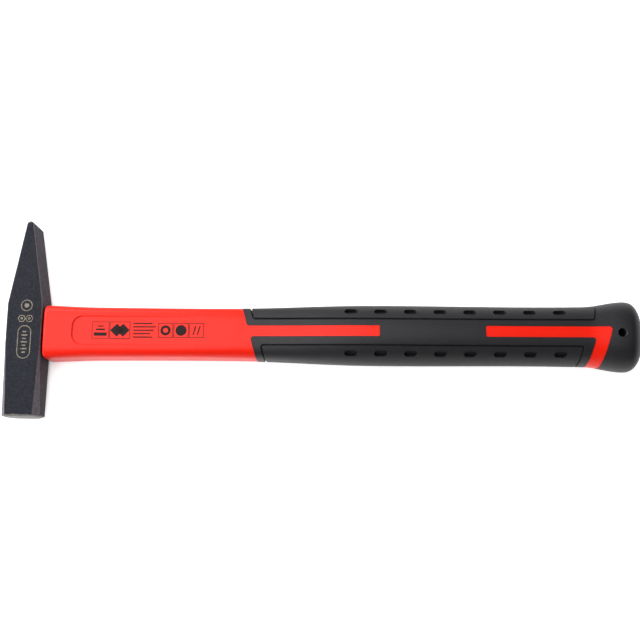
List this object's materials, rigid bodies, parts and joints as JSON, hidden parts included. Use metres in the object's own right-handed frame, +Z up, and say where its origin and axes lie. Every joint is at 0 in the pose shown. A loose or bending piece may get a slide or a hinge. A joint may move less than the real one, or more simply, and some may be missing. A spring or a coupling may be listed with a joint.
{
  "type": "cross-peen hammer",
  "caption": "Small cross-peen engineer's hammer: chamfered poll with a flat striking face, wedge peen, fibre core and a red and black moulded handle with a rubber grip and a hang hole.",
  "frame": {"origin": "centre of the striking face, on the hammer's mid plane", "axes": "the hammer lies on its side: +X along the handle from head to butt, -Y out of the striking face, +Y towards the peen, +Z up through the head's thickness"},
  "size_m": [0.2673, 0.084, 0.0252],
  "materials": {
    "head_lacquer": "blue-black hammered lacquer on forged steel, bare ground steel on the striking face and the peen's edge",
    "fibre_rod": "pultruded glass fibre, satin",
    "potting_resin": "cast resin, slightly glossy",
    "red_plastic": "moulded, semi-gloss",
    "grip_rubber": "matte thermoplastic rubber",
    "pad_rubber": "matte, slightly textured soft rubber"
  },
  "bodies": {
    "root": {"hammer_head": "head_lacquer", "core_rod": "fibre_rod", "eye_resin": "potting_resin", "handle_jacket": "red_plastic", "grip_sleeve": "grip_rubber", "grip_pad_upper": "pad_rubber", "grip_pad_lower": "pad_rubber"}
  },
  "joints": []
}
